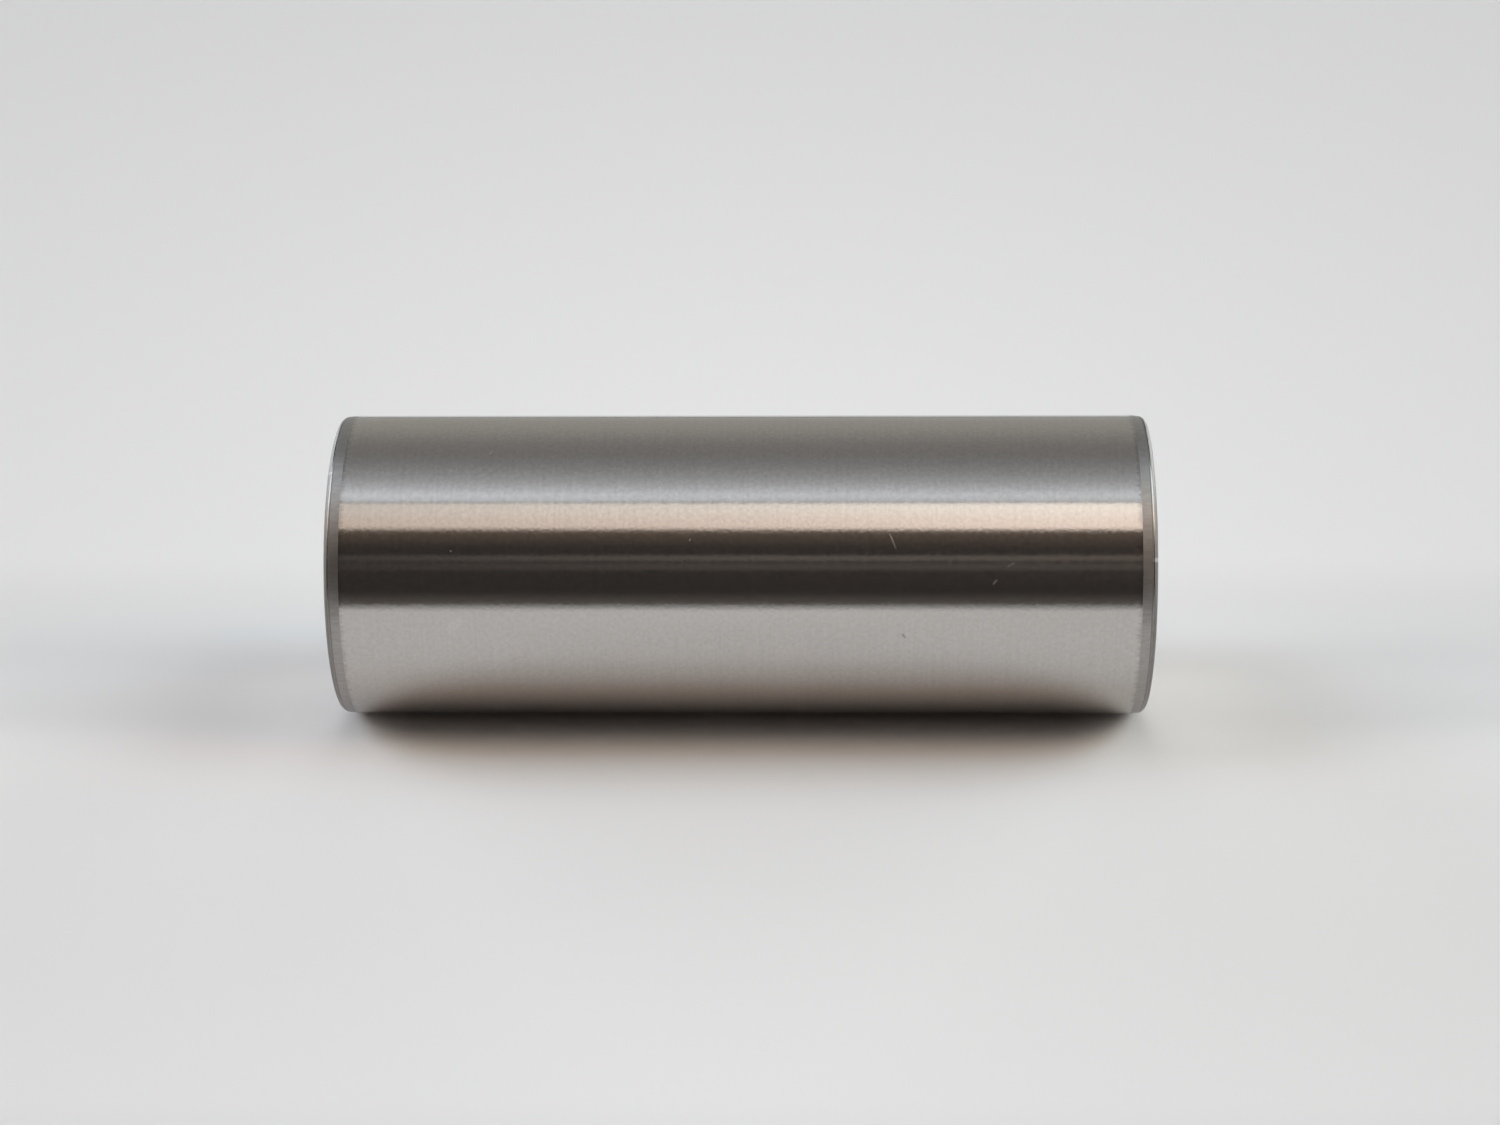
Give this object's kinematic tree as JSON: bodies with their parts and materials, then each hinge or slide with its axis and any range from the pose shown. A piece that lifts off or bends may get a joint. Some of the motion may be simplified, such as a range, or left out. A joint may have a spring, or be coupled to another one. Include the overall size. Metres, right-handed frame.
{
  "type": "crank pin",
  "caption": "Solid round crank pin in ground steel, a straight cylinder with a shallow turned lead-in and a small rounded edge at each end.",
  "frame": {"origin": "centre of the lower end face, on the surface that the pin stands on", "axes": "+Z along the pin's axis, up through both end faces; X and Y are alike, because the pin is round"},
  "size_m": [0.022, 0.022, 0.059],
  "materials": {
    "ground_steel": "hardened and finely ground on the outside, turned and duller at the lead-ins and on the end faces"
  },
  "bodies": {
    "root": {"crank_pin": "ground_steel"}
  },
  "joints": []
}
